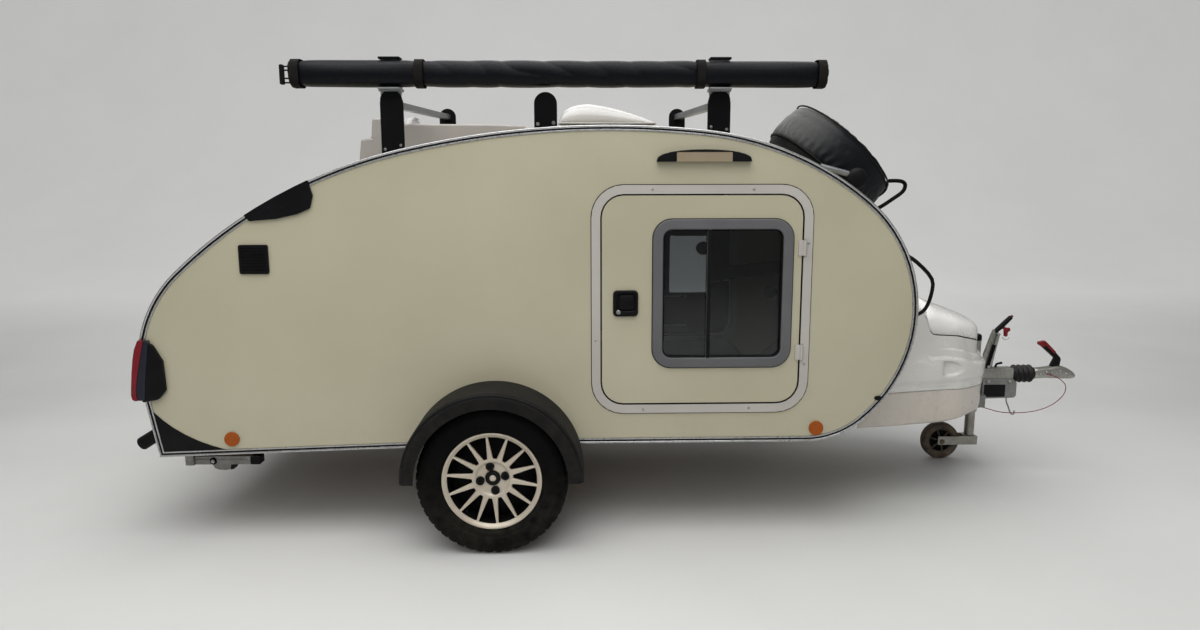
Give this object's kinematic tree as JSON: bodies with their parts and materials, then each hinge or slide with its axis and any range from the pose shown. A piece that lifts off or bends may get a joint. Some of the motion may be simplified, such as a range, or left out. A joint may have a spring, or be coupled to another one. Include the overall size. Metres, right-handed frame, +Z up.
{
  "type": "travel trailer",
  "caption": "Teardrop travel trailer with side doors, rear galley hatch, nose locker over an A-frame, jockey wheel, roof rack with rolled awning, and covered spare wheel.",
  "frame": {"origin": "on the ground, at the middle of the overall length and width", "axes": "+X forward to the coupling, +Y to the left side, +Z up"},
  "size_m": [4.22, 1.96, 1.8749],
  "materials": {
    "wall_cream": "cream laminate, lightly marked",
    "panel_cream": "cream laminate",
    "galvanised": "hot-dip zinc",
    "floor_ply": "sealed plywood",
    "galley_wood": "birch ply",
    "edge_alu": "satin",
    "frame_white": "pale grey powder coat",
    "window_grey": "moulded grey",
    "tinted_glass": "dark tint",
    "black_plastic": "moulded black",
    "fender_plastic": "grained charcoal",
    "tyre_rubber": "road tyre",
    "rim_alloy": "cast, painted silver",
    "gelcoat": "white gel coat",
    "bellows_rubber": "ribbed",
    "zinc": "zinc plated",
    "cable_red": "sheathed wire",
    "rusty_wheel": "worn",
    "lamp_red": "moulded lens",
    "amber": "moulded reflector",
    "lamp_frost": "frosted lens",
    "black_steel": "matte black powder coat",
    "rack_alu": "extruded",
    "vinyl_navy": "coated bag cloth",
    "vinyl_charcoal": "bleached vinyl cover",
    "dome_white": "translucent moulding",
    "mattress_cloth": "woven"
  },
  "bodies": {
    "trailer": {"chassis_frame": "galvanised", "axle_beam": "galvanised", "axle_arms": "galvanised", "floor_panel": "floor_ply", "wall_right": "wall_cream", "wall_left": "wall_cream", "roof_panel": "panel_cream", "front_panel": "panel_cream", "rear_panel": "panel_cream", "galley_unit": "galley_wood", "edge_trims": "edge_alu", "door_frames": "frame_white", "fenders": "fender_plastic", "nose_box": "gelcoat", "drawbar_tube": "zinc", "bellows": "bellows_rubber", "coupling_head": "zinc", "coupling_lever": "black_plastic", "overrun_housing": "galvanised", "handbrake_lever": "zinc", "breakaway_cable": "cable_red", "jockey_sleeve": "zinc", "lamp_housings": "black_plastic", "lamp_lenses": "lamp_red", "reflectors": "amber", "vents": "black_plastic", "hinge_caps": "black_plastic", "corner_plates": "black_plastic", "porch_lamps": "black_plastic", "porch_lenses": "lamp_frost", "roof_brackets": "black_steel", "crossbars": "rack_alu", "awning_bag": "vinyl_navy", "roof_unit": "gelcoat", "skylight_base": "gelcoat", "spare_cover": "vinyl_charcoal", "spare_carrier": "black_steel", "grab_handles": "black_plastic", "mattress": "mattress_cloth"},
    "right_wheel": {"tyre_right": "tyre_rubber", "rim_right": "rim_alloy"},
    "left_wheel": {"tyre_left": "tyre_rubber", "rim_left": "rim_alloy"},
    "right_door": {"door_right": "wall_cream", "window_frame_right": "window_grey", "glass_right": "tinted_glass", "latch_right": "black_plastic"},
    "left_door": {"door_left": "wall_cream", "window_frame_left": "window_grey", "glass_left": "tinted_glass", "latch_left": "black_plastic"},
    "hatch": {"tailgate": "panel_cream"},
    "locker_lid": {"nose_lid": "gelcoat"},
    "roof_dome": {"skylight_dome": "dome_white"},
    "jockey_leg": {"jockey_stem": "zinc"},
    "jockey_swivel": {"jockey_fork": "zinc"},
    "jockey_roller": {"jockey_wheel": "rusty_wheel"},
    "right_steady": {"steady_right": "galvanised"},
    "left_steady": {"steady_left": "galvanised"}
  },
  "joints": [
    {"name": "right_wheel_spin", "type": "hinge", "parent": "trailer", "child": "right_wheel", "pos_m": [-0.69126, -0.868, 0.2915], "axis": [0, 1, 0], "continuous": true},
    {"name": "left_wheel_spin", "type": "hinge", "parent": "trailer", "child": "left_wheel", "pos_m": [-0.69126, 0.868, 0.2915], "axis": [0, 1, 0], "continuous": true},
    {"name": "right_door_swing", "type": "hinge", "parent": "trailer", "child": "right_door", "pos_m": [0.5239, -0.77, 0.955], "axis": [0, 0, 1], "range_deg": [0, 100]},
    {"name": "left_door_swing", "type": "hinge", "parent": "trailer", "child": "left_door", "pos_m": [0.5239, 0.77, 0.955], "axis": [0, 0, -1], "range_deg": [0, 100]},
    {"name": "hatch_lift", "type": "hinge", "parent": "trailer", "child": "hatch", "pos_m": [-1.49708, 0, 1.36959], "axis": [0, 1, 0], "range_deg": [0, 80]},
    {"name": "locker_lid_lift", "type": "hinge", "parent": "trailer", "child": "locker_lid", "pos_m": [1.15883, 0, 0.879], "axis": [0, -1, 0], "range_deg": [0, 75]},
    {"name": "roof_dome_lift", "type": "hinge", "parent": "trailer", "child": "roof_dome", "pos_m": [-0.00726, 0, 1.66957], "axis": [0, 1, 0], "range_deg": [0, 55]},
    {"name": "jockey_wind", "type": "slide", "parent": "trailer", "child": "jockey_leg", "axis": [0, 0, -1], "range_m": [-0.06, 0.12]},
    {"name": "jockey_turn", "type": "hinge", "parent": "jockey_leg", "child": "jockey_swivel", "pos_m": [1.65797, 0.13, 0.1], "axis": [0, 0, 1], "continuous": true},
    {"name": "jockey_roll", "type": "hinge", "parent": "jockey_swivel", "child": "jockey_roller", "pos_m": [1.50597, 0.13, 0.095], "axis": [0, 1, 0], "continuous": true},
    {"name": "right_steady_drop", "type": "hinge", "parent": "trailer", "child": "right_steady", "pos_m": [-1.94126, -0.66, 0.298], "axis": [0, 1, 0], "range_deg": [0, 70]},
    {"name": "left_steady_drop", "type": "hinge", "parent": "trailer", "child": "left_steady", "pos_m": [-1.94126, 0.66, 0.298], "axis": [0, 1, 0], "range_deg": [0, 70]}
  ]
}
